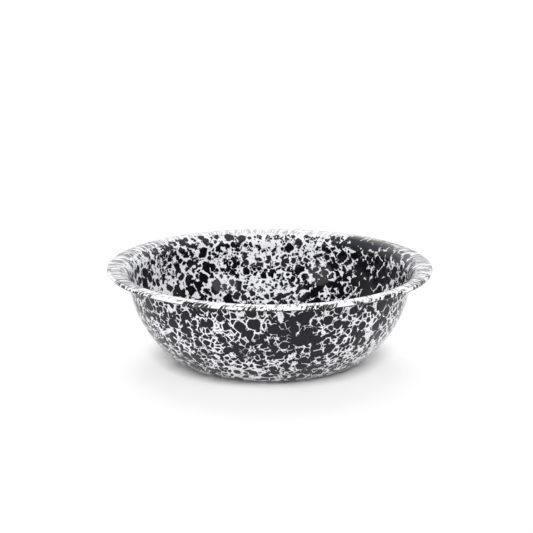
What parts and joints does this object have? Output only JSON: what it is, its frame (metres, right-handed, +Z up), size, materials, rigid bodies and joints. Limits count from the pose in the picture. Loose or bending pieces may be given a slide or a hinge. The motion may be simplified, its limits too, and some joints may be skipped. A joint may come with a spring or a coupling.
{
  "type": "basin bowl",
  "caption": "Wide round basin bowl in spatter-coated enamel over pressed steel, with curved flaring walls, a rolled-out lip with a curled rim, and a flat ring to stand on.",
  "frame": {"origin": "centre of the bowl on the plane of its resting ring", "axes": "+Z up through the middle of the bowl, +X to the right and -Y towards the viewer as the picture shows it"},
  "size_m": [0.292, 0.292, 0.086],
  "materials": {
    "steel": "pressed sheet, covered by enamel on every face",
    "inner_enamel": "glossy fired enamel, white with black spatter",
    "outer_enamel": "glossy fired enamel, white with black spatter",
    "base_enamel": "glossy fired enamel, white with black spatter",
    "rim_enamel": "glossy fired enamel, white with black ticks"
  },
  "bodies": {
    "root": {"steel_shell": "steel", "inner_enamel": "inner_enamel", "outer_enamel": "outer_enamel", "base_enamel": "base_enamel", "rim_enamel": "rim_enamel"}
  },
  "joints": []
}
